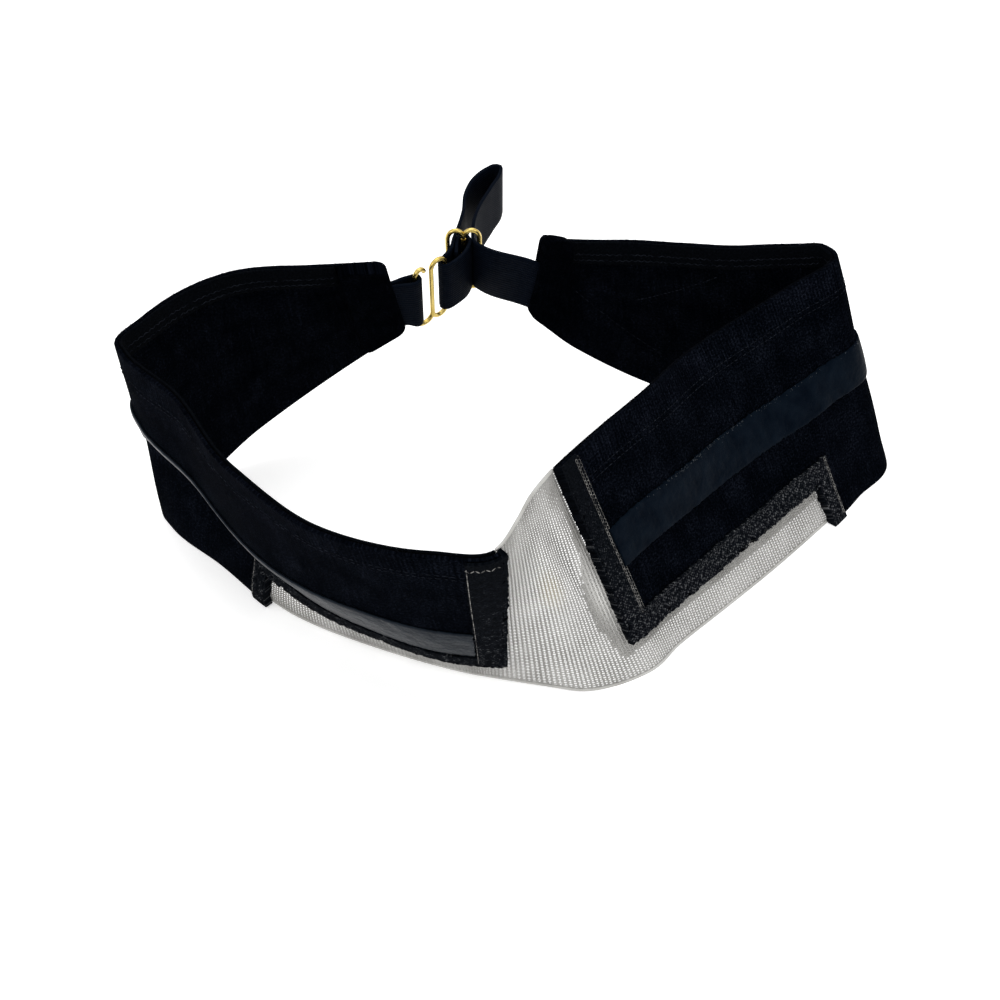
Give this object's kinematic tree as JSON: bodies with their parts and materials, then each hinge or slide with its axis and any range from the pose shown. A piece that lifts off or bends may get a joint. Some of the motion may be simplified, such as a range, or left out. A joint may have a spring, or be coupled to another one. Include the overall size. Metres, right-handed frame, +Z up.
{
  "type": "wig grip band",
  "caption": "Stretch velvet wig grip band with a fine net front, glossy grip strips, and an elastic strap closed by a gold hook and slider",
  "frame": {"origin": "centre of the bounding box at its lowest level, where the lower edge rests on the table", "axes": "+X runs to the right across the standing band, +Y runs from the net front to the strap at the back, +Z runs up from the lower edge"},
  "size_m": [0.1946, 0.1628, 0.062],
  "materials": {
    "velvet": "black stretch velvet with a faint navy sheen",
    "hem": "black turned cloth with chain stitches and a frayed edge",
    "net": "fine pale net knitted in columns, with small four-sided holes",
    "grip": "glossy dark grip film",
    "elastic": "flat woven black elastic",
    "gold": "polished gold coloured wire"
  },
  "bodies": {
    "root": {"velvet_left_panel": "velvet", "velvet_right_panel": "velvet", "front_net": "net", "left_front_hem": "hem", "right_front_hem": "hem", "left_top_hem": "hem", "right_top_hem": "hem", "left_grip_strip": "grip", "right_grip_strip": "grip", "left_end_cuff": "velvet", "right_end_cuff": "velvet", "strap_slider": "gold", "strap_hook": "gold", "short_strap_loop": "elastic", "long_strap": "elastic"}
  },
  "joints": []
}
